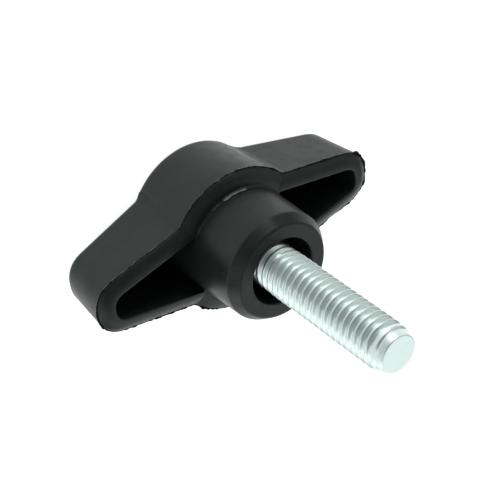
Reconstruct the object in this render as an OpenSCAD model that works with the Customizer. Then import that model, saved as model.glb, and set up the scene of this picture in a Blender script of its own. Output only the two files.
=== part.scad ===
// Wing knob with a moulded-in threaded stud.
// Millimetres. +Z runs along the stud to its tip, +X runs along the wings.
// The origin is the centre of the hub's seating face, on the stud's axis.

/* [Wings] */
// Span across the two wing tips
span = 40.7; // [38:0.1:46]
// Half width that the wing sides would reach at the centre line
wing_root_half = 7.4; // [7:0.1:8]
// Half width that the wing sides would reach at the tips
wing_tip_half = 3.2; // [3:0.1:4]
// Radius of the two corners at each wing tip
tip_corner_r = 2.5; // [2:0.1:2.8]
// Wall around each pocket, from the parting line, along the wing sides
side_wall = 2.05; // [1.4:0.05:2.2]
// Wall around each pocket, from the parting line, at the wing tips
tip_wall = 2.2; // [1.6:0.1:2.4]
// Radius of the corners at each pocket's outer end
pocket_corner_r = 1; // [0.6:0.1:1.4]
// Depth that the wings' backs would reach at the centre line, below the seating face
wing_back_root = 19.8; // [19:0.1:21]
// Depth of the wings' backs at the tips, below the seating face
wing_back_tip = 16.6; // [15:0.1:18]

/* [Grip body] */
// Radius of the round middle of the grip at the parting line
middle_r = 9.6; // [9.4:0.1:10.5]
// Height from the flat middle of the back to the hub's seating face
grip_h = 19.2; // [18.6:0.1:19.6]
// Height and width of the bevelled lip between the parting line and the rim
lip = 0.85; // [0.4:0.05:1]
// Width and height of the bevel round the closed back
back_bevel = 0.8; // [0.4:0.1:1.2]
// Inward draft of the wings' side walls from the parting line to the back
side_draft = 0.4; // [0.1:0.1:0.5]
// Inward draft of the round middle's wall from the parting line to the back
middle_draft = 0.6; // [0.3:0.1:0.8]
// Inward draft of the wing tips from the parting line to the back
tip_draft = 0.6; // [0.3:0.1:1]
// Thickness of the closed back under the pockets
back_t = 2; // [1.4:0.1:3]

/* [Hub] */
// Height of the hub above the rim
hub_h = 8.1; // [5:0.1:9]
// Radius of the hub at the rim
hub_root_r = 7.3; // [7.1:0.1:8]
// Radius of the hub just below its end bevel
hub_end_r = 7.1; // [6.6:0.1:7.1]
// Height of the bevel at the hub's end
hub_bevel_h = 1.35; // [0.5:0.05:1.5]
// Width of the bevel at the hub's end
hub_bevel_w = 0.9; // [0.4:0.05:1]
// Radius of the recess round the stud
recess_r = 4.35; // [4.2:0.05:5]
// Depth of the recess below the seating face
recess_depth = 5; // [3:0.5:6]

/* [Stud] */
// Nominal thread diameter
thread_d = 6; // [5:1:6]
// Length of stud beyond the seating face
stud_len = 20; // [10:5:40]
// Radius of the flat at the stud's tip
tip_flat_r = 2.3; // [1.8:0.1:2.4]
// Height of the lead-in bevel at the stud's tip
tip_bevel_h = 1.2; // [0.5:0.1:1.5]
// Radius of the plain neck between the thread and the knurled anchor
neck_r = 2.5; // [2:0.1:2.5]
// Length of the plain neck
neck_len = 1.5; // [1:0.1:2]
// Radius over the crests of the knurled anchor
knurl_r = 4; // [3.6:0.1:4.1]
// Depth of the knurl's grooves
knurl_depth = 0.35; // [0.2:0.05:0.4]
// Number of ridges round the knurl
knurl_teeth = 28; // [20:2:36]
// Length of each of the two knurled bands
knurl_len = 2.6; // [2:0.1:3]
// Length of the groove between the knurled bands
groove_len = 1.2; // [0.8:0.1:1.6]
// Radius at the bottom of the groove between the knurled bands
groove_r = 3.1; // [2.8:0.1:3.3]

/* [Hidden] */
$fn = 96;
// Straight pieces in each rounded corner of a wing's outline
CORNER_STEPS = 7;
// Thickness of the outlines that the wing's skin is stretched over
SKIN = 0.01;
// How far a cutter passes through the face that it opens
THROUGH = 1;
half_span = span / 2;
side_slope = (wing_tip_half - wing_root_half) / half_span;
side_stretch = sqrt(1 + side_slope * side_slope);
back_angle = atan((wing_back_root - wing_back_tip) / half_span);
back_z = -grip_h;
rim_z = -hub_h;
parting_z = rim_z - lip;
recess_floor_z = -recess_depth;
anchor_top_z = recess_floor_z - neck_len;
upper_groove_z = anchor_top_z - knurl_len;
lower_groove_z = upper_groove_z - groove_len;
anchor_end_z = lower_groove_z - knurl_len;

// One quarter of a wing outline, from the centre line round to the flat of the tip.
// side_in and tip_in move the side and the tip inwards.
function quarter(side_in, tip_in, corner_r) =
    let (
        root = wing_root_half - side_in * side_stretch,
        cx = half_span - tip_in - corner_r,
        cy = root + side_slope * cx - corner_r * side_stretch,
        first = 90 + atan(side_slope)
    )
    concat(
        [[0, root]],
        [for (i = [0 : CORNER_STEPS])
            let (a = first * (1 - i / CORNER_STEPS))
            [cx + corner_r * cos(a), cy + corner_r * sin(a)]]
    );

function reversed(list) = [for (i = [len(list) - 1 : -1 : 0]) list[i]];

// Both wings as one outline, worked out from one quarter and its reflections.
// along stretches it lengthwise, to make up for a tilt.
module wing_plan(side_in, tip_in, corner_r, along = 1) {
    q = [for (p = quarter(side_in, tip_in, corner_r)) [along * p.x, p.y]];
    right = concat(q, [for (p = reversed(q)) [p.x, -p.y]]);
    left = [for (p = reversed(right)) [-p.x, p.y]];
    polygon(concat(right, left));
}

// A thin level slice of the wings with its lower face at z
module wing_slice(z, side_in, tip_in, corner_r) {
    translate([0, 0, z])
        linear_extrude(SKIN)
            wing_plan(side_in, tip_in, corner_r);
}

// A thin slice that follows the sloping back of the right wing, raised above it by rise
module back_slice(rise, side_in, tip_in, corner_r) {
    translate([0, 0, rise - wing_back_root])
        rotate([0, -back_angle, 0])
            linear_extrude(SKIN)
                intersection() {
                    wing_plan(side_in, tip_in, corner_r, 1 / cos(back_angle));
                    translate([0, -span / 2])
                        square([span, span]);
                }
}

// Outside of the two wings: sloping bevelled backs, drafted walls, parting line and lip
module wing_body() {
    hull() {
        for (side = [0, 1])
            mirror([side, 0, 0]) {
                back_slice(0, side_draft + back_bevel, tip_draft + back_bevel, tip_corner_r - back_bevel);
                back_slice(back_bevel, side_draft, tip_draft, tip_corner_r);
            }
        wing_slice(parting_z - SKIN / 2, 0, 0, tip_corner_r);
        wing_slice(rim_z - SKIN, lip, lip, tip_corner_r - lip);
    }
}

// Outside of the round middle, whose flat back is the lowest face of the grip
module middle_body() {
    rotate_extrude()
        polygon([
            [0, back_z],
            [middle_r - middle_draft - back_bevel, back_z],
            [middle_r - middle_draft, back_z + back_bevel],
            [middle_r, parting_z],
            [middle_r - lip, rim_z],
            [0, rim_z]
        ]);
}

// Round hub that stands out of the rim and ends in the seating face
module hub_body() {
    rotate_extrude()
        polygon([
            [0, back_z + back_t],
            [hub_root_r, back_z + back_t],
            [hub_root_r, rim_z],
            [hub_end_r, -hub_bevel_h],
            [hub_end_r - hub_bevel_w, 0],
            [0, 0]
        ]);
}

// The hollows of the two wings. Their floors run parallel to the wings' backs.
module wing_pockets() {
    for (side = [0, 1])
        mirror([side, 0, 0])
            intersection() {
                translate([0, 0, -wing_back_root])
                    linear_extrude(wing_back_root + rim_z + THROUGH)
                        difference() {
                            wing_plan(side_wall, tip_wall, pocket_corner_r);
                            circle(r = hub_root_r);
                        }
                translate([0, 0, back_t - wing_back_root])
                    rotate([0, -back_angle, 0])
                        translate([0, -middle_r, 0])
                            cube([span, 2 * middle_r, grip_h]);
            }
}

// Everything below the flat middle of the back
module below_back() {
    translate([-span / 2, -middle_r, back_z - grip_h])
        cube([span, 2 * middle_r, grip_h]);
}

// Plan of the straight knurl: ridges and grooves in turn
module knurl_plan() {
    step = 180 / knurl_teeth;
    polygon([for (i = [0 : 2 * knurl_teeth - 1])
        let (r = knurl_r - knurl_depth * (i % 2))
        [r * cos(i * step), r * sin(i * step)]]);
}

// The stud's moulded-in end: plain neck, two knurled bands and a retaining groove
module anchor() {
    translate([0, 0, anchor_end_z])
        linear_extrude(knurl_len)
            knurl_plan();
    translate([0, 0, lower_groove_z])
        cylinder(r = groove_r, h = groove_len);
    translate([0, 0, upper_groove_z])
        linear_extrude(knurl_len)
            knurl_plan();
    translate([0, 0, anchor_top_z])
        cylinder(r = neck_r, h = neck_len);
}

// Moulded grip: wings, round middle, closed back, hub and the cavity round the anchor
module wing_grip() {
    color([0.10, 0.11, 0.11])
        difference() {
            union() {
                difference() {
                    union() {
                        wing_body();
                        middle_body();
                    }
                    wing_pockets();
                }
                hub_body();
            }
            below_back();
            translate([0, 0, recess_floor_z])
                cylinder(r = recess_r, h = recess_depth + THROUGH);
            anchor();
        }
}

// Zinc-plated stud. The thread stands as a plain cylinder over its crests.
module threaded_stud() {
    thread_r = thread_d / 2;
    color([0.80, 0.84, 0.84])
        union() {
            anchor();
            rotate_extrude()
                polygon([
                    [0, recess_floor_z],
                    [thread_r, recess_floor_z],
                    [thread_r, stud_len - tip_bevel_h],
                    [tip_flat_r, stud_len],
                    [0, stud_len]
                ]);
        }
}

wing_grip();
threaded_stud();
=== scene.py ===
"""Wing knob with a moulded-in M6 x 20 threaded stud, on a pale studio floor.

Lengths in the mesh code are millimetres in the part's own frame: the origin is the centre of the
hub's seating face, +Z runs along the stud to its tip and +X runs along the wings.
"""

import math

import bmesh
import bpy
from mathutils import Euler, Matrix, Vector, noise


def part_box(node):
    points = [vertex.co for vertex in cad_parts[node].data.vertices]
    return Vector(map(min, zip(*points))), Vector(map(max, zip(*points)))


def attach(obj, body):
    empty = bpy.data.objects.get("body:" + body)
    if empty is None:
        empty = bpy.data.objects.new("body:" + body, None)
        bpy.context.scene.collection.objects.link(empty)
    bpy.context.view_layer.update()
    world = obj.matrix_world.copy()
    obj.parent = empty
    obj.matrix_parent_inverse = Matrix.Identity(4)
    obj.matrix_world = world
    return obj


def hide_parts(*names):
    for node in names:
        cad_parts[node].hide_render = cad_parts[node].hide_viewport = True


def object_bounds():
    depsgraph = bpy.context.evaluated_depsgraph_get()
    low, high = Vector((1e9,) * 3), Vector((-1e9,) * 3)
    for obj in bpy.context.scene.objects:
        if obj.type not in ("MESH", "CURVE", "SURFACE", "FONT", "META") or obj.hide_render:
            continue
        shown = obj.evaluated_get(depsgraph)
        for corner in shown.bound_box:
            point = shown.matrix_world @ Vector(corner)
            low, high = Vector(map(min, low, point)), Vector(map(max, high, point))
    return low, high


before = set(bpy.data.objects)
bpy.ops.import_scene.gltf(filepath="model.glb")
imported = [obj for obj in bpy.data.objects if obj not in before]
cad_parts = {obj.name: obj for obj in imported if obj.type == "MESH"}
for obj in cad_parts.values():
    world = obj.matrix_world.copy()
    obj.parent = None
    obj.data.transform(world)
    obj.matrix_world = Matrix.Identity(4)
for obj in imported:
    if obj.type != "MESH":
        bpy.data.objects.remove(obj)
cad_lo, cad_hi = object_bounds()

MM = 0.001
TURN = 2 * math.pi
QUARTER_TURN = math.pi / 2
SHARP_ANGLE = math.radians(34)
# Points closer than this are merged, and edges shorter than the second are dissolved (metres)
MERGE_M = 2e-7
DEGENERATE_M = 1e-8

# ---------------------------------------------------------------- sizes from the frame

grip_lo, grip_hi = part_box("wing_grip")
stud_lo, stud_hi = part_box("threaded_stud")
TIP_X = grip_hi.x / MM
MIDDLE_R = grip_hi.y / MM
BACK_Z = grip_lo.z / MM
SEAT_Z = grip_hi.z / MM
STUD_TOP_Z = stud_hi.z / MM
ANCHOR_Z = stud_lo.z / MM
ANCHOR_R = stud_hi.x / MM

# ---------------------------------------------------------------- grip: sizes

WING_ROOT_HALF = 7.4
WING_TIP_HALF = 3.2
WING_SLOPE = (WING_ROOT_HALF - WING_TIP_HALF) / TIP_X
RIM_Z = -8.1
LIP = 0.85
PARTING_Z = RIM_Z - LIP
WING_BACK_ROOT_Z = -19.8
WING_BACK_RISE = 3.2 / TIP_X
SIDE_DRAFT = 0.4
MIDDLE_DRAFT = 0.6
TIP_DRAFT = 0.6
BACK_ROUND = 0.9
CREASE_R = 1.7
TIP_REACH = 3.2
TIP_SQUARENESS = 0.6
# How far along the straight side the tip's curve is aimed, as a share of its reach
TIP_AIM = 0.6

POCKET_SIDE_WALL = 2.05
POCKET_TIP_WALL = 2.2
POCKET_REACH = 1.45
# How much the pocket's rounded tip shortens for each mm that its outline is drawn in
POCKET_REACH_LOSS = 0.7
POCKET_SQUARENESS = 0.66
POCKET_WEDGE_R = 0.15
POCKET_EDGE = 0.16
POCKET_DRAFT = 0.18
POCKET_FLOOR_ROUND = 0.6
BACK_T = 2.0

CROWN_POWER = 2.2
FLASH_HALF = 0.05
FLASH_MEAN = 0.05
FLASH_COARSE = 0.2
FLASH_FINE = 0.16
# The flash's cross-section: rise along the wall and reach out of it, as shares of its size
FLASH_SECTION = ((-0.3, 0.9), (0.5, 1.0), (1.0, 0.7))
# A narrow groove in the rim just inside the flash: its depth, and its place and width as shares
# of the rim's width
FLASH_GROOVE = 0.14
FLASH_GROOVE_AT = 0.04
FLASH_GROOVE_WIDTH = 0.025
# How pale the painted highlight on the flash's torn edge is at its palest: a pale colour standing
# in for glints
FLASH_PAINTED_GLINT = 0.22
# Noise patterns along the outline: waves per mm, and a height in the noise that sets them apart
FLASH_COARSE_PATTERN = (0.45, 3.0)
FLASH_FINE_PATTERN = (1.9, 9.0)
FLASH_LIFT_PATTERN = (0.8, 17.0)
# The painted highlight's patches along the flash follow this pattern
FLASH_GLINT_PATTERN = (1.3, 25.0)
FIN_PATTERN = (1.1, 2.0)
# Lumps of flash: where they are along the outline (x, y), how far they stick out, and their width
FLASH_LUMPS = ((19.3, 2.9, 0.22, 0.8), (20.3, 0.9, 0.14, 0.7), (20.0, -1.6, 0.12, 0.9))

HUB_ROOT_R = 7.3
HUB_END_R = 7.1
HUB_BEVEL_H = 1.35
HUB_BEVEL_W = 0.9
HUB_ROOT_FILLET = 0.3
HUB_ROOT_FIN = 0.32
FIN_ROUGHNESS = 0.3
FIN_END_FADE_DEG = 5
# The share of its full height above which the fin gets painted highlight, a pale colour standing in
# for its glint
FIN_GLINT_FROM = 0.5
# The fin's rings reach a little past the fillet's nominal radius
FIN_TOLERANCE = 0.01
# The fin's profile over the root fillet: its outer side slopes and its inner side is steep
FIN_SHARES = (0, 0.1, 0.4, 0.85, 1.0, 0.05, 0, 0, 0)
# Where the fin was left on: start and end angles about the axis, and height as a share
FIN_PATCHES = ((75, 107, 1.0), (107, 121, 0.6), (132, 141, 0.65), (284, 301, 0.5))
HUB_BEVEL_ROUND = 0.6
HUB_FACE_ROUND = 0.4
RECESS_R = 4.35
RECESS_EDGE = 0.18
RECESS_Z = -5.0
RECESS_FLOOR_ROUND = 0.4

# ---------------------------------------------------------------- stud: sizes

THREAD_PITCH = 1.0
THREAD_CREST_R = 2.95
THREAD_ROOT_R = 2.48
# The first crest's height where it crosses the +X side
THREAD_START_Z = -4.75
STUD_TIP_R = 2.4
STUD_TAPER = 2.3
STUD_TIP_ROUND = 0.13
NECK_R = 2.5
NECK_Z = -6.5
KNURL_LEN = 2.6
KNURL_DEPTH = 0.35
GROOVE_LEN = 1.2
GROOVE_R = 3.1
UPPER_GROOVE_Z = NECK_Z - KNURL_LEN
LOWER_GROOVE_Z = UPPER_GROOVE_Z - GROOVE_LEN

# ---------------------------------------------------------------- how finely it is divided

TIP_STEPS = 40
SIDE_STEPS = 60
CREASE_STEPS = 20
MIDDLE_STEPS = 60
WING_STEPS = TIP_STEPS + SIDE_STEPS + CREASE_STEPS
FACING_STEPS = 16
ROUND_STEPS = 8
BACK_ACROSS = 24
THREAD_AROUND = 112
RIDGE_STEPS = 11
# Columns over which a rounded edge dies out at a junction
EDGE_FADE_STEPS = 8
FILLET_FADE_STEPS = 12
DISC_FADE_STEPS = 8
# Rows of the walls, as shares of their height or width
WALL_LEVELS = (0, 0.02, 0.2, 0.4, 0.6, 0.8, 0.98, 1)
CROWN_LEVELS = (0.01, 0.035, 0.06, 0.09, 0.15, 0.24, 0.34, 0.46, 0.6, 0.76, 0.9, 0.97)
POCKET_LEVELS = (0.03, 0.25, 0.5, 0.75, 1)
HUB_LEVELS = (0.02, 0.35, 0.7)
FLAT_BACK_SCALES = (0.99, 0.7, 0.4, 0.15)
TIP_FACE_SCALES = (0.93, 0.6, 0.3)
# A ring this far before and after each rounded corner keeps the faces beside it flat
CORNER_HOLD = 0.03


# ---------------------------------------------------------------- small helpers


def mix(a, b, t):
    return a + (b - a) * t


def smooth(t):
    t = min(max(t, 0.0), 1.0)
    return t * t * (3 - 2 * t)


def pattern(x, y, kind):
    """Smooth noise from about -1 to 1 over the plan, for one of the patterns above"""
    frequency, layer = kind
    return noise.noise(Vector((x * frequency, y * frequency, layer)))


def polar(r, angle):
    return Vector((r * math.cos(angle), r * math.sin(angle)))


def right_of(direction):
    """The unit vector a quarter turn clockwise from a 2-D direction"""
    return Vector((direction.y, -direction.x)).normalized()


class Shell:
    """Vertices and faces collected ring by ring"""

    def __init__(self):
        self.points = []
        self.faces = []
        # Painted highlight per point: how much pale glint colour each one gets
        self.painted_glint = {}

    def row(self, points):
        first = len(self.points)
        self.points.extend(Vector(p) for p in points)
        return list(range(first, len(self.points)))

    def paint_glint(self, ring, amounts):
        """Marks how much painted highlight, a pale colour standing in for glints, goes on a ring's
        points
        """
        self.painted_glint.update(zip(ring, amounts))

    def bridge(self, a, b, closed=True):
        """Quads between two rows of the same length"""
        n = len(a)
        for i in range(n if closed else n - 1):
            j = (i + 1) % n
            self.faces.append((a[i], a[j], b[j], b[i]))

    def lathe(self, rings):
        """Quads between each ring and the next"""
        for a, b in zip(rings, rings[1:]):
            self.bridge(a, b)

    def cap(self, ring, z):
        """Closes a ring with a fan to a point on the axis"""
        (centre,) = self.row([(0, 0, z)])
        for i, a in enumerate(ring):
            self.faces.append((a, ring[(i + 1) % len(ring)], centre))

    def build(self, name, material):
        mesh = bpy.data.meshes.new(name)
        mesh.from_pydata([p * MM for p in self.points], [], self.faces)
        # Stores the painted highlight per point for the material to read
        painted_glint = mesh.attributes.new("painted_glint", "FLOAT", "POINT")
        for i, amount in self.painted_glint.items():
            painted_glint.data[i].value = amount
        bm = bmesh.new()
        bm.from_mesh(mesh)
        bmesh.ops.remove_doubles(bm, verts=bm.verts, dist=MERGE_M)
        bmesh.ops.dissolve_degenerate(bm, edges=bm.edges, dist=DEGENERATE_M)
        bmesh.ops.recalc_face_normals(bm, faces=bm.faces)
        bm.to_mesh(mesh)
        bm.free()
        mesh.shade_smooth()
        mesh.set_sharp_from_angle(angle=SHARP_ANGLE)
        mesh.materials.append(material)
        obj = bpy.data.objects.new(name, mesh)
        bpy.context.scene.collection.objects.link(obj)
        return obj


# ---------------------------------------------------------------- grip: outlines in plan


def tangent_fillet(line_normal, line_offset, circle_r, fillet_r, side):
    """Centre of the fillet between a line and the circle. side is 1 above the line, -1 below it."""
    along = Vector((line_normal.y, -line_normal.x))
    height = line_offset + side * fillet_r
    reach = math.sqrt((circle_r + fillet_r) ** 2 - height**2)
    return line_normal * height + along * reach


def quarter_outline(side_in, tip_in, reach, squareness, circle_r, fillet_r, fillet_side):
    """Points and outward normals of a quarter, from the tip's middle round to the +Y axis.

    It runs along the rounded tip, the straight side, the fillet and the arc of the round middle.
    """
    line_dir = Vector((1, -WING_SLOPE)).normalized()
    line_normal = Vector((WING_SLOPE, 1)).normalized()
    line_offset = WING_ROOT_HALF * line_normal.y - side_in
    centre = tangent_fillet(line_normal, line_offset, circle_r, fillet_r, fillet_side)
    side_end = centre - line_normal * (fillet_side * fillet_r)

    tip_x = TIP_X - tip_in
    start_x = tip_x - reach
    start = Vector((start_x, (line_offset - line_normal.x * start_x) / line_normal.y))
    bezier = (
        Vector((tip_x, 0)),
        Vector((tip_x, squareness * start.y)),
        start + line_dir * (TIP_AIM * reach),
        start,
    )
    outline = []
    for i in range(TIP_STEPS):
        t = i / TIP_STEPS
        u = 1 - t
        p = (
            u**3 * bezier[0]
            + 3 * u * u * t * bezier[1]
            + 3 * u * t * t * bezier[2]
            + t**3 * bezier[3]
        )
        d = (
            u * u * (bezier[1] - bezier[0])
            + 2 * u * t * (bezier[2] - bezier[1])
            + t * t * (bezier[3] - bezier[2])
        )
        outline.append((p, right_of(d)))
    for i in range(SIDE_STEPS):
        outline.append((start.lerp(side_end, i / SIDE_STEPS), line_normal))
    a0 = math.atan2(*reversed(-line_normal * fillet_side))
    a1 = math.atan2(*reversed(-centre))
    a1 -= TURN * round((a1 - a0) / TURN)
    for i in range(CREASE_STEPS):
        a = mix(a0, a1, i / CREASE_STEPS)
        outline.append((centre + polar(fillet_r, a), polar(-fillet_side, a)))
    join = math.atan2(centre.y, centre.x)
    for i in range(MIDDLE_STEPS + 1):
        a = mix(join, QUARTER_TURN, i / MIDDLE_STEPS)
        outline.append((polar(circle_r, a), polar(1, a)))
    return outline, join


def pocket_outline(inset):
    """The inner outline: a wing's pocket as far as the hub, then the hub's own circle"""
    return quarter_outline(
        POCKET_SIDE_WALL + inset,
        POCKET_TIP_WALL + inset,
        POCKET_REACH - POCKET_REACH_LOSS * inset,
        POCKET_SQUARENESS,
        HUB_ROOT_R + inset,
        POCKET_WEDGE_R,
        -1,
    )


outer, outer_join = quarter_outline(
    0, 0, TIP_REACH, TIP_SQUARENESS, MIDDLE_R, CREASE_R, 1
)
inner, inner_join = pocket_outline(0)
N = len(outer) - 1


def full_ring(quarter):
    """A closed ring from a quarter that runs from the +X axis to the +Y axis"""
    there = quarter[:-1]
    back = quarter[:0:-1]
    return (
        [(x, y, z) for x, y, z in there]
        + [(-x, y, z) for x, y, z in back]
        + [(-x, -y, z) for x, y, z in there]
        + [(x, -y, z) for x, y, z in back]
    )


def outer_point(i, inset, z):
    p, n = outer[i]
    return (p.x - n.x * inset, p.y - n.y * inset, z)


def wing_back_z(x):
    return WING_BACK_ROOT_Z + WING_BACK_RISE * abs(x)


# ---------------------------------------------------------------- grip: outer walls

DISC_R = MIDDLE_R - MIDDLE_DRAFT
DISC_ROUND_Z = BACK_Z + BACK_ROUND
# Repeats that disc_foot needs to settle
DISC_FOOT_ROUNDS = 6


def disc_foot(angle):
    """Profile angle of the disc's rounded edge where the wing's back meets it"""
    a = 0.0
    for _ in range(DISC_FOOT_ROUNDS):
        r = DISC_R - BACK_ROUND * (1 - math.cos(a))
        drop = DISC_ROUND_Z - wing_back_z(r * math.cos(angle))
        a = math.asin(min(max(drop / BACK_ROUND, 0.0), 1.0))
    return a


def disc_point(angle, a):
    p = polar(DISC_R - BACK_ROUND * (1 - math.cos(a)), angle)
    return (p.x, p.y, DISC_ROUND_Z - BACK_ROUND * math.sin(a))


def disc_foot_r(angle):
    return DISC_R - BACK_ROUND * (1 - math.cos(disc_foot(angle)))


def total_draft(i):
    if i < TIP_STEPS:
        return mix(TIP_DRAFT, SIDE_DRAFT, smooth(i / TIP_STEPS))
    if i < TIP_STEPS + SIDE_STEPS:
        return SIDE_DRAFT
    return mix(SIDE_DRAFT, MIDDLE_DRAFT, smooth((i - TIP_STEPS - SIDE_STEPS) / CREASE_STEPS))


def edge_round(i):
    """Radius of the wing's back edge. It dies out along the crease."""
    t = (i - TIP_STEPS - SIDE_STEPS) / CREASE_STEPS
    return BACK_ROUND * (1 - smooth(t))


def edge_point(i, a):
    """A point of the wing's rounded back edge: a is 0 on the back and a quarter turn on the wall"""
    r = edge_round(i)
    x, y, _ = outer_point(i, total_draft(i) + r * (1 - math.sin(a)), 0)
    return (x, y, wing_back_z(x) + r * (1 - math.cos(a)))


def disc_angle(i):
    """Angle round the axis of a column of the round middle"""
    return mix(outer_join, QUARTER_TURN, (i - WING_STEPS) / MIDDLE_STEPS)


def wall_foot(i):
    """The lowest point of a column's wall, where the rounded edge begins"""
    if i < WING_STEPS:
        return edge_point(i, QUARTER_TURN)
    fade = max(0.0, 1 - (i - WING_STEPS) / DISC_FADE_STEPS)
    return disc_point(disc_angle(i), disc_foot(outer_join) * fade)


def wall_point(i, t):
    """A point of the drafted wall: t is 0 at its foot and 1 just under the parting line"""
    x, y, z = wall_foot(i)
    p, _ = outer[i]
    return (mix(x, p.x, t), mix(y, p.y, t), mix(z, PARTING_Z - FLASH_HALF, t))


def flash_ring(rise, spread):
    """A ring at the parting line, pushed out and up unevenly as the torn flash of the mould"""
    quarter = [outer_point(i, 0, PARTING_Z) for i in range(N + 1)]
    normals = [(n.x, n.y, 0) for _, n in outer]
    pushed = []
    for (x, y, z), (nx, ny, _) in zip(full_ring(quarter), full_ring(normals)):
        coarse = FLASH_COARSE * pattern(x, y, FLASH_COARSE_PATTERN)
        fine = FLASH_FINE * pattern(x, y, FLASH_FINE_PATTERN)
        wave = pattern(x, y, FLASH_LIFT_PATTERN)
        lumps = sum(
            size * math.exp(-((x - at_x) ** 2 + (y - at_y) ** 2) / width**2)
            for at_x, at_y, size, width in FLASH_LUMPS
        )
        push = max(0.0, FLASH_MEAN + coarse + fine + lumps) * spread
        lift = FLASH_HALF * wave + rise * (FLASH_HALF + push)
        pushed.append((x + nx * push, y + ny * push, z + lift))
    return pushed


def inner_edge_size(i):
    """Size of the pocket's rounded edge or the hub's root fillet. Both die out where they meet."""
    if i < WING_STEPS:
        return POCKET_EDGE * smooth((WING_STEPS - i) / EDGE_FADE_STEPS)
    return HUB_ROOT_FILLET * smooth((i - WING_STEPS) / FILLET_FADE_STEPS)


def inner_edge_point(i, b):
    """A point of the rim's inner edge: b is 0 on the rim and a quarter turn on the wall"""
    size = inner_edge_size(i)
    turn_down = -1 if i < WING_STEPS else 1
    p, n = inner[i]
    out = size * (1 - math.sin(b))
    return (p.x + n.x * out, p.y + n.y * out, RIM_Z + turn_down * size * (1 - math.cos(b)))


def crown_point(i, u):
    """A point of the crowned rim: u is 0 at the parting line and 1 at the inner edge"""
    x0, y0, _ = outer_point(i, 0, 0)
    x1, y1, _ = inner_edge_point(i, 0)
    crown = RIM_Z - LIP * (1 - u) ** CROWN_POWER
    groove = FLASH_GROOVE * math.exp(-(((u - FLASH_GROOVE_AT) / FLASH_GROOVE_WIDTH) ** 2))
    return (mix(x0, x1, u), mix(y0, y1, u), crown - groove)


grip = Shell()

outer_rings = [
    grip.row(full_ring([wall_point(i, t) for i in range(N + 1)])) for t in WALL_LEVELS
]
for rise, spread in FLASH_SECTION:
    flash = flash_ring(rise, spread)
    outer_rings.append(grip.row(flash))
    # Painted highlight: patches of pale glint colour along the flash's torn edge
    grip.paint_glint(
        outer_rings[-1],
        [FLASH_PAINTED_GLINT * smooth(2 * pattern(x, y, FLASH_GLINT_PATTERN)) for x, y, _ in flash],
    )
outer_rings += [
    grip.row(full_ring([crown_point(i, u) for i in range(N + 1)])) for u in CROWN_LEVELS
]
grip.lathe(outer_rings)
wall_foot_ring = outer_rings[0]
rim_ring = outer_rings[-1]

# ---------------------------------------------------------------- grip: backs of the wings


def wing_columns(ring, turned):
    """A wing's stretch of a ring as (top half, bottom half), each from the tip to the crease"""
    total = len(ring)
    start = total // 2 if turned else 0
    top = [ring[(start + i) % total] for i in range(WING_STEPS + 1)]
    bottom = [ring[(start - i) % total] for i in range(WING_STEPS + 1)]
    return top, bottom


def cross_rows(shell, top, bottom, join_angle, arc_r, across, z_at, half_turn):
    """Fills the space between a wing's two halves with rows that bow to the middle's arc.

    arc_r gives the arc's radius at an angle. Returns the last row, which lies on the arc.
    """
    sign = -1 if half_turn else 1
    steps = len(top) - 1
    join = polar(arc_r(join_angle), join_angle)
    rows = []
    for j in range(steps + 1):
        a = shell.points[top[j]]
        weight = (j / steps) ** 2
        inside = []
        for m in range(1, across):
            s = 1 - 2 * m / across
            angle = s * join_angle
            arc = polar(arc_r(angle), angle)
            x = abs(a.x) + (arc.x - join.x) * weight
            y = abs(a.y) * mix(s, arc.y / join.y, weight)
            inside.append((sign * x, sign * y, z_at(x)))
        rows.append([top[j]] + shell.row(inside) + [bottom[j]])
    for a, b in zip(rows, rows[1:]):
        shell.bridge(a, b, closed=False)
    return rows[-1]


foot_arcs = []
for half_turn in (False, True):
    sign = -1 if half_turn else 1
    top, bottom = wing_columns(wall_foot_ring, half_turn)
    for k in range(1, ROUND_STEPS + 1):
        a = QUARTER_TURN * (1 - k / ROUND_STEPS)
        points = [edge_point(i, a) for i in range(WING_STEPS)]
        points.append(wall_foot(WING_STEPS))
        next_top = grip.row([(sign * x, sign * y, z) for x, y, z in points])
        next_bottom = grip.row([(sign * x, -sign * y, z) for x, y, z in points])
        grip.bridge(top, next_top, closed=False)
        grip.bridge(bottom, next_bottom, closed=False)
        top, bottom = next_top, next_bottom
    foot_arcs.append(
        cross_rows(
            grip, top, bottom, outer_join, disc_foot_r, BACK_ACROSS, wing_back_z, half_turn
        )
    )

# ---------------------------------------------------------------- grip: round middle of the back


def middle_run(ring, half_turn):
    """The columns of the round middle from the crease on one side of the wing to the other"""
    total = len(ring)
    start = total // 2 if half_turn else 0
    return [
        ring[(start + i) % total] for i in range(WING_STEPS, 2 * N - WING_STEPS + 1)
    ]


# The wings' arcs are given from +Y to -Y as seen from their own tips
right_arc, left_arc = foot_arcs
foot_ring = (
    middle_run(wall_foot_ring, False)[:-1]
    + left_arc[::-1][:-1]
    + middle_run(wall_foot_ring, True)[:-1]
    + right_arc[::-1][:-1]
)
disc_ring = foot_ring

for k in range(1, ROUND_STEPS + 1):
    ring = []
    for v in foot_ring:
        p = grip.points[v]
        foot = math.asin(min(max((DISC_ROUND_Z - p.z) / BACK_ROUND, 0.0), 1.0))
        ring.append(
            disc_point(math.atan2(p.y, p.x), mix(foot, QUARTER_TURN, k / ROUND_STEPS))
        )
    next_ring = grip.row(ring)
    grip.bridge(disc_ring, next_ring)
    disc_ring = next_ring
flat_ring = disc_ring
for scale in FLAT_BACK_SCALES:
    next_ring = grip.row(
        [grip.points[v].xy.to_3d() * scale + Vector((0, 0, BACK_Z)) for v in flat_ring]
    )
    grip.bridge(disc_ring, next_ring)
    disc_ring = next_ring
grip.cap(disc_ring, BACK_Z)

# ---------------------------------------------------------------- grip: the rim's inner edge


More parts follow.
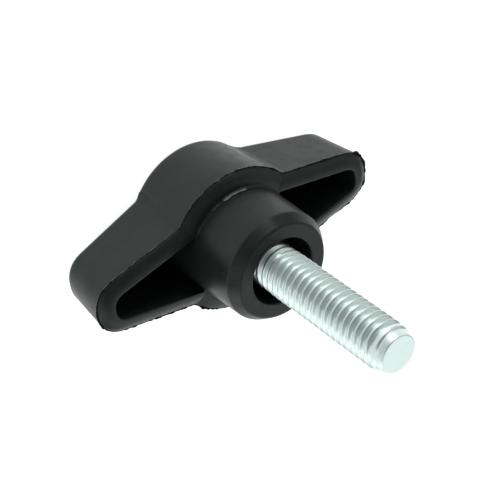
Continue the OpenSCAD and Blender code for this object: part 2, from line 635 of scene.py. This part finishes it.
def root_fin(x, y):
    """Height of the broken fin round the hub's root, the witness of the mould's insert"""
    around = math.degrees(math.atan2(y, x)) % 360
    rough = 1 + FIN_ROUGHNESS * pattern(x, y, FIN_PATTERN)
    height = 0.0
    for start, end, share in FIN_PATCHES:
        inside = smooth((around - start) / FIN_END_FADE_DEG)
        inside *= smooth((end - around) / FIN_END_FADE_DEG)
        height = max(height, HUB_ROOT_FIN * share * inside * rough)
    return height


def root_fin_ring(ring, share):
    """Raises a ring of the hub's root fillet by its share of the fin"""
    raised = []
    for x, y, z in ring:
        on_hub = math.hypot(x, y) < HUB_ROOT_R + HUB_ROOT_FILLET + FIN_TOLERANCE
        raised.append((x, y, z + share * root_fin(x, y) * on_hub))
    return raised


inner_rings = [rim_ring]
for k in range(ROUND_STEPS + 1):
    quarter = [inner_edge_point(i, QUARTER_TURN * k / ROUND_STEPS) for i in range(N + 1)]
    fillet_ring = full_ring(quarter)
    raised_ring = root_fin_ring(fillet_ring, FIN_SHARES[k])
    inner_rings.append(grip.row(raised_ring))
    rises = [(a[2] - b[2]) / HUB_ROOT_FIN for a, b in zip(raised_ring, fillet_ring)]
    # Painted highlight: pale glint colour on the fin's top, where it stands highest
    grip.paint_glint(inner_rings[-1], [max(0.0, rise - FIN_GLINT_FROM) for rise in rises])
grip.lathe(inner_rings)
inner_ring = inner_rings[-1]

# ---------------------------------------------------------------- grip: pockets


def pocket_floor_z(x):
    return wing_back_z(x) + BACK_T


def pocket_rows(outline, z_of, sign):
    """One level of a pocket: its two halves and the arc of the hub that closes it"""
    points, join = outline
    half = [(p.x, p.y, z_of(i, p)) for i, (p, _) in enumerate(points[: WING_STEPS + 1])]
    radius = points[WING_STEPS][0].length
    arc = []
    for m in range(2 * FACING_STEPS + 1):
        p = polar(radius, mix(join, -join, m / (2 * FACING_STEPS)))
        arc.append((sign * p.x, sign * p.y, z_of(WING_STEPS, p)))
    return (
        grip.row([(sign * x, sign * y, z) for x, y, z in half]),
        grip.row([(sign * x, -sign * y, z) for x, y, z in half]),
        grip.row(arc),
    )


facing_arcs = []
for half_turn in (False, True):
    sign = -1 if half_turn else 1
    top, bottom = wing_columns(inner_ring, half_turn)
    start_level = pocket_rows(
        (inner, inner_join), lambda i, p: RIM_Z - inner_edge_size(i) * (i < WING_STEPS), sign
    )
    facing_arcs.append(start_level[2])
    levels = [(top, bottom, start_level[2])]
    for t in POCKET_LEVELS:
        levels.append(
            pocket_rows(
                pocket_outline(POCKET_DRAFT * t),
                lambda i, p: mix(RIM_Z, pocket_floor_z(p.x) + POCKET_FLOOR_ROUND, t),
                sign,
            )
        )
    for k in range(1, ROUND_STEPS + 1):
        c = QUARTER_TURN * k / ROUND_STEPS
        floor_outline = pocket_outline(POCKET_DRAFT + POCKET_FLOOR_ROUND * (1 - math.cos(c)))
        levels.append(
            pocket_rows(
                floor_outline,
                lambda i, p: pocket_floor_z(p.x) + POCKET_FLOOR_ROUND * (1 - math.sin(c)),
                sign,
            )
        )
    for a, b in zip(levels, levels[1:]):
        for row_a, row_b in zip(a, b):
            grip.bridge(row_a, row_b, closed=False)
    floor_top, floor_bottom, _ = levels[-1]
    floor_points, floor_join = floor_outline
    floor_r = floor_points[WING_STEPS][0].length
    cross_rows(
        grip,
        floor_top,
        floor_bottom,
        floor_join,
        lambda angle: floor_r,
        2 * FACING_STEPS,
        pocket_floor_z,
        half_turn,
    )

# ---------------------------------------------------------------- grip: hub, recess and cavity


def rounded_profile(corners):
    """Points of a profile (radius, z) with each corner (radius, z, rounding) rounded off"""
    profile = [Vector(corners[0][:2])]
    for before, corner, after in zip(corners, corners[1:], corners[2:]):
        p, rounding = Vector(corner[:2]), corner[2]
        if not rounding:
            profile.append(p)
            continue
        u = (Vector(before[:2]) - p).normalized()
        v = (Vector(after[:2]) - p).normalized()
        half = u.angle(v) / 2
        reach = rounding / math.tan(half)
        centre = p + (u + v).normalized() * (rounding / math.sin(half))
        a = p + u * reach - centre
        b = p + v * reach - centre
        start = math.atan2(a.y, a.x)
        sweep = math.atan2(b.y, b.x) - start
        sweep -= TURN * round(sweep / TURN)
        profile.append(p + u * (reach + CORNER_HOLD))
        for k in range(ROUND_STEPS + 1):
            profile.append(centre + polar(rounding, start + sweep * k / ROUND_STEPS))
        profile.append(p + v * (reach + CORNER_HOLD))
    profile.append(Vector(corners[-1][:2]))
    return profile


right_facing, left_facing = facing_arcs
hub_ring = (
    middle_run(inner_ring, False)[:-1]
    + left_facing[::-1][:-1]
    + middle_run(inner_ring, True)[:-1]
    + right_facing[::-1][:-1]
)
hub_angles = [math.atan2(grip.points[v].y, grip.points[v].x) for v in hub_ring]
hub_start = [grip.points[v].z for v in hub_ring]


def hub_circle(r, z):
    return grip.row([polar(r, a).to_3d() + Vector((0, 0, z)) for a in hub_angles])


hub_profile = rounded_profile(
    [
        (HUB_ROOT_R, RIM_Z, 0),
        (HUB_END_R, SEAT_Z - HUB_BEVEL_H, HUB_BEVEL_ROUND),
        (HUB_END_R - HUB_BEVEL_W, SEAT_Z, HUB_FACE_ROUND),
        (RECESS_R, SEAT_Z, RECESS_EDGE),
        (RECESS_R, RECESS_Z, RECESS_FLOOR_ROUND),
        (NECK_R, RECESS_Z, 0),
        (NECK_R, NECK_Z, 0),
        (ANCHOR_R, NECK_Z, 0),
        (ANCHOR_R, UPPER_GROOVE_Z, 0),
        (GROOVE_R, UPPER_GROOVE_Z, 0),
        (GROOVE_R, LOWER_GROOVE_Z, 0),
        (ANCHOR_R, LOWER_GROOVE_Z, 0),
        (ANCHOR_R, ANCHOR_Z, 0),
    ]
)
hub_rings = [hub_ring]
for t in HUB_LEVELS:
    ring = []
    for angle, z0 in zip(hub_angles, hub_start):
        z = mix(max(z0, RIM_Z), hub_profile[1].y, t)
        r = mix(HUB_ROOT_R, HUB_END_R, (z - RIM_Z) / (hub_profile[1].y - RIM_Z))
        ring.append(polar(r, angle).to_3d() + Vector((0, 0, z)))
    hub_rings.append(grip.row(ring))
hub_rings += [hub_circle(r, z) for r, z in hub_profile[1:]]
grip.lathe(hub_rings)
grip.cap(hub_rings[-1], ANCHOR_Z)

# ---------------------------------------------------------------- stud

THREAD_DEPTH = THREAD_CREST_R - THREAD_ROOT_R
# Half of one rolled thread ridge: distance from the crest's middle in pitches, and height
RIDGE_POWER = 0.9
HALF_RIDGE = tuple(
    (0.5 * k / RIDGE_STEPS, (0.5 + 0.5 * math.cos(math.pi * k / RIDGE_STEPS)) ** RIDGE_POWER)
    for k in range(RIDGE_STEPS + 1)
)
# Where the mesh's rows lie across one ridge
RIDGE_ROWS = [-s for s, _ in HALF_RIDGE[::-1]] + [s for s, _ in HALF_RIDGE[1:-1]]
# Near the tip the thread is a little shallower: over what length, by how much, towards what height
STUD_TIP_FADE = 2.0
TIP_SHALLOWNESS = 0.2
TIP_HEIGHT = 0.75
TAPER_POWER = 1.3
# The thread starts this many turns before its first crest, so that it reaches the recess's floor
TURNS_BEFORE = 2
# How deep the knurl's grooves are over four neighbouring columns
KNURL_SHAPE = (0, 0.5, 1, 0.5)


def ridge_height(phase):
    """Height of the thread, 0 at the root and 1 at the crest, at a phase of one pitch"""
    s = abs((phase + 0.5) % 1.0 - 0.5)
    for (s0, h0), (s1, h1) in zip(HALF_RIDGE, HALF_RIDGE[1:]):
        if s <= s1:
            return mix(h0, h1, (s - s0) / (s1 - s0))
    return 0.0


def stud_limit(z):
    """Radius of the tip's slender taper at a height"""
    below = STUD_TOP_Z - z
    if below < STUD_TIP_ROUND:
        a = math.acos(1 - below / STUD_TIP_ROUND)
        return STUD_TIP_R - STUD_TIP_ROUND * (1 - math.sin(a))
    t = min((below - STUD_TIP_ROUND) / (STUD_TAPER - STUD_TIP_ROUND), 1.0)
    return mix(STUD_TIP_R, THREAD_CREST_R, 1 - (1 - t) ** TAPER_POWER)


def thread_point(z, angle):
    z = min(max(z, RECESS_Z), STUD_TOP_Z)
    height = ridge_height((z - THREAD_START_Z) / THREAD_PITCH - angle / TURN)
    shallow = TIP_SHALLOWNESS * smooth((z - STUD_TOP_Z + STUD_TIP_FADE) / STUD_TIP_FADE)
    r = THREAD_ROOT_R + THREAD_DEPTH * mix(height, TIP_HEIGHT, shallow)
    p = polar(min(r, stud_limit(z)), angle)
    return (p.x, p.y, z)


stud = Shell()
turns = math.ceil((STUD_TOP_Z - RECESS_Z) / THREAD_PITCH) + 1
thread_rows = []
for turn in range(-TURNS_BEFORE, turns):
    for s in RIDGE_ROWS:
        row = []
        for c in range(THREAD_AROUND + 1):
            angle = TURN * c / THREAD_AROUND
            z = THREAD_START_Z + THREAD_PITCH * (turn + s + c / THREAD_AROUND)
            row.append(thread_point(z, angle))
        thread_rows.append(stud.row(row))
for a, b in zip(thread_rows, thread_rows[1:]):
    stud.bridge(a, b, closed=False)


def stud_ring(radii, z):
    """A ring at a height, from the radius at each column"""
    return stud.row(
        [
            polar(r, TURN * c / THREAD_AROUND).to_3d() + Vector((0, 0, z))
            for c, r in enumerate(radii)
        ]
    )


def stud_circle(r, z):
    return stud_ring([r] * THREAD_AROUND, z)


def knurl_circle(z):
    """A ring over the knurl's ridges and grooves"""
    depths = [KNURL_SHAPE[c % len(KNURL_SHAPE)] * KNURL_DEPTH for c in range(THREAD_AROUND)]
    return stud_ring([ANCHOR_R - depth for depth in depths], z)


tip_ring = thread_rows[-1][:-1]
tip_rings = [tip_ring] + [stud_circle(STUD_TIP_R * k, STUD_TOP_Z) for k in TIP_FACE_SCALES]
stud.lathe(tip_rings)
stud.cap(tip_rings[-1], STUD_TOP_Z)
anchor_rings = [
    thread_rows[0][:-1],
    stud_circle(NECK_R, RECESS_Z),
    stud_circle(NECK_R, NECK_Z),
    knurl_circle(NECK_Z),
    knurl_circle(UPPER_GROOVE_Z),
    stud_circle(GROOVE_R, UPPER_GROOVE_Z),
    stud_circle(GROOVE_R, LOWER_GROOVE_Z),
    knurl_circle(LOWER_GROOVE_Z),
    knurl_circle(ANCHOR_Z),
    stud_circle(GROOVE_R, ANCHOR_Z),
]
stud.lathe(anchor_rings)
stud.cap(anchor_rings[-1], ANCHOR_Z)

# ---------------------------------------------------------------- materials


# Noise stays mostly within this range, which spread stretches to the wanted values
PATTERN_LOW = 0.3
PATTERN_HIGH = 0.7
# Sockets of a colour Mix node
MIX_FACTOR, MIX_A, MIX_B = 0, 6, 7
MIX_RESULT = 2


class Paint:
    """A node material with a few helpers for procedural patterns in object space"""

    def __init__(self, name):
        self.material = bpy.data.materials.new(name)
        self.material.use_nodes = True
        self.nodes = self.material.node_tree.nodes
        self.links = self.material.node_tree.links
        self.shader = self.nodes["Principled BSDF"]
        self.place = self.nodes.new("ShaderNodeTexCoord").outputs["Object"]

    def noise(self, feature_mm, detail=3.0, stretch=None):
        """Noise whose features are about feature_mm wide"""
        node = self.nodes.new("ShaderNodeTexNoise")
        node.inputs["Scale"].default_value = 1 / (feature_mm * MM)
        node.inputs["Detail"].default_value = detail
        place = self.place
        if stretch:
            mapping = self.nodes.new("ShaderNodeMapping")
            mapping.inputs["Scale"].default_value = stretch
            self.links.new(place, mapping.inputs["Vector"])
            place = mapping.outputs["Vector"]
        self.links.new(place, node.inputs["Vector"])
        return node.outputs["Fac"]

    def spread(self, source, low, high):
        """Maps a 0 to 1 pattern to a range of values"""
        node = self.nodes.new("ShaderNodeMapRange")
        node.inputs["From Min"].default_value = PATTERN_LOW
        node.inputs["From Max"].default_value = PATTERN_HIGH
        node.inputs["To Min"].default_value = low
        node.inputs["To Max"].default_value = high
        self.links.new(source, node.inputs["Value"])
        return node.outputs["Result"]

    def tint(self, source, low, high):
        """Mixes two colours by a pattern"""
        node = self.nodes.new("ShaderNodeMix")
        node.data_type = "RGBA"
        node.inputs[MIX_A].default_value = (*low, 1)
        node.inputs[MIX_B].default_value = (*high, 1)
        self.links.new(source, node.inputs[MIX_FACTOR])
        return node.outputs[MIX_RESULT]

    def bump(self, source, depth_mm, under=None):
        """Raises the surface by up to depth_mm, on top of another bump if one is given"""
        node = self.nodes.new("ShaderNodeBump")
        node.inputs["Distance"].default_value = depth_mm * MM
        self.links.new(source, node.inputs["Height"])
        if under:
            self.links.new(under, node.inputs["Normal"])
        return node.outputs["Normal"]

    def connect(self, socket, output):
        self.links.new(output, self.shader.inputs[socket])


def grip_paint():
    p = Paint("black_polyamide")
    p.shader.inputs["Specular IOR Level"].default_value = 0.24
    p.shader.inputs["Specular Tint"].default_value = (0.88, 1.0, 0.97, 1)
    black = p.tint(p.noise(2.2), (0.008, 0.0095, 0.0092), (0.015, 0.0175, 0.017))
    # Painted highlight: a pale colour mixed into the black where the mesh marks glints on the flash
    # and fin
    painted_glint = p.nodes.new("ShaderNodeAttribute")
    painted_glint.attribute_name = "painted_glint"
    pale = p.tint(painted_glint.outputs["Fac"], (0, 0, 0), (0.36, 0.37, 0.36))
    p.links.new(black, pale.node.inputs[MIX_A])
    p.connect("Base Color", pale)
    p.connect("Roughness", p.spread(p.noise(1.3, 5), 0.30, 0.41))
    waves = p.bump(p.noise(5.0, 1), 0.12)
    pebbles = p.bump(p.noise(0.35, 2), 0.010, waves)
    p.connect("Normal", p.bump(p.noise(0.09, 3), 0.006, pebbles))
    return p.material


def stud_paint():
    p = Paint("zinc_plate")
    p.shader.inputs["Metallic"].default_value = 1.0
    p.connect("Base Color", p.tint(p.noise(2.5, 1), (0.63, 0.745, 0.70), (0.72, 0.79, 0.79)))
    p.connect("Roughness", p.spread(p.noise(0.8, 2), 0.31, 0.37))
    ripples = p.bump(p.noise(0.3, 2, (0.5, 0.5, 2.2)), 0.006)
    p.connect("Normal", p.bump(p.noise(0.1, 2, (0.6, 0.6, 1.4)), 0.0012, ripples))
    return p.material


def floor_paint():
    p = Paint("pale_floor")
    p.shader.inputs["Roughness"].default_value = 0.9
    p.shader.inputs["Specular IOR Level"].default_value = 0.0
    p.connect("Base Color", p.tint(p.noise(30, 2), (0.42, 0.43, 0.43), (0.45, 0.45, 0.45)))
    p.shader.inputs["Emission Color"].default_value = (1, 1, 1, 1)
    p.shader.inputs["Emission Strength"].default_value = 0.9
    return p.material


grip_object = grip.build("moulded_wing_grip", grip_paint())
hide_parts("wing_grip")
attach(grip_object, "root")

stud_object = stud.build("threaded_stud_m6", stud_paint())
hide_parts("threaded_stud")
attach(stud_object, "root")

# ---------------------------------------------------------------- floor, light and camera

FLOOR_SIZE = 1.6
# The floor lies this far under the part, so that the two don't share a plane
FLOOR_GAP = 0.00005
floor = Shell()
half = FLOOR_SIZE / 2 / MM
floor_corners = [(-half, -half, 0), (half, -half, 0), (half, half, 0), (-half, half, 0)]
floor.faces.append(floor.row(floor_corners))
floor_object = floor.build("pale_floor", floor_paint())
floor_object.location.z = cad_lo.z - FLOOR_GAP

AIM = Vector((0, 0, -0.004))
SOFTBOX_SIZE = 0.34
SOFTBOX_DISTANCE = 0.5
SOFTBOX_COLOUR = (0.95, 1.0, 0.985)


def softbox(name, azimuth, elevation, power, size=SOFTBOX_SIZE):
    """A round area light that faces the part. Azimuth runs from +X towards +Y, in degrees."""
    around, up = math.radians(azimuth), math.radians(elevation)
    direction = Vector(
        (math.cos(up) * math.cos(around), math.cos(up) * math.sin(around), math.sin(up))
    )
    light = bpy.data.lights.new(name, "AREA")
    light.shape = "DISK"
    light.size = size
    light.energy = power
    light.color = SOFTBOX_COLOUR
    obj = bpy.data.objects.new(name, light)
    obj.location = AIM + direction * SOFTBOX_DISTANCE
    obj.rotation_mode = "QUATERNION"
    obj.rotation_quaternion = (-direction).to_track_quat("-Z", "Y")
    bpy.context.scene.collection.objects.link(obj)


softbox("softbox_key", 73, 9, 0.46, 0.13)
softbox("softbox_low_front", 90, 10, 0.13, 0.2)
softbox("softbox_low_left", 225, 10, 0.22, 0.2)
softbox("softbox_low_back", 298, 8, 0.34, 0.3)
softbox("softbox_front_right", 45, 35, 0.20)
softbox("softbox_left", 180, 35, 0.34)
softbox("softbox_back_left", 225, 35, 0.40)
softbox("softbox_back", 270, 35, 0.34)
softbox("softbox_back_right", 310, 38, 0.24)
softbox("softbox_right", 0, 35, 0.16)
softbox("softbox_over_back", 324, 62, 0.12)

WORLD_COLOUR = (0.94, 1.0, 0.98, 1)
WORLD_HORIZON = 0.3
WORLD_OVERHEAD = 0.24
# The sine of the elevation where the fade from horizon to overhead starts and ends
WORLD_FADE = (0.05, 0.5)
world = bpy.data.worlds.new("studio")
world.use_nodes = True
tree = world.node_tree
background = tree.nodes["Background"]
background.inputs["Color"].default_value = WORLD_COLOUR
split = tree.nodes.new("ShaderNodeSeparateXYZ")
fade = tree.nodes.new("ShaderNodeMapRange")
fade.interpolation_type = "SMOOTHSTEP"
fade.inputs["From Min"].default_value = WORLD_FADE[0]
fade.inputs["From Max"].default_value = WORLD_FADE[1]
fade.inputs["To Min"].default_value = WORLD_HORIZON
fade.inputs["To Max"].default_value = WORLD_OVERHEAD
tree.links.new(tree.nodes.new("ShaderNodeTexCoord").outputs["Generated"], split.inputs[0])
tree.links.new(split.outputs["Z"], fade.inputs["Value"])
tree.links.new(fade.outputs["Result"], background.inputs["Strength"])
bpy.context.scene.world = world
bpy.context.scene.view_settings.view_transform = "Standard"

CAMERA_AT_MM = (-64.85, 94.84, 98.72)
CAMERA_TURN_DEG = (-32.66, -36.76, -8.79)
SENSOR_MM = 36
LENS_MM = 93.27
camera = bpy.data.cameras.new("camera")
camera.sensor_width = SENSOR_MM
camera.lens = LENS_MM
camera.clip_start = 0.005
camera.clip_end = 10
camera_object = bpy.data.objects.new("camera", camera)
camera_object.location = Vector(CAMERA_AT_MM) * MM
camera_object.rotation_euler = Euler([math.radians(a) for a in CAMERA_TURN_DEG])
bpy.context.scene.collection.objects.link(camera_object)
bpy.context.scene.camera = camera_object
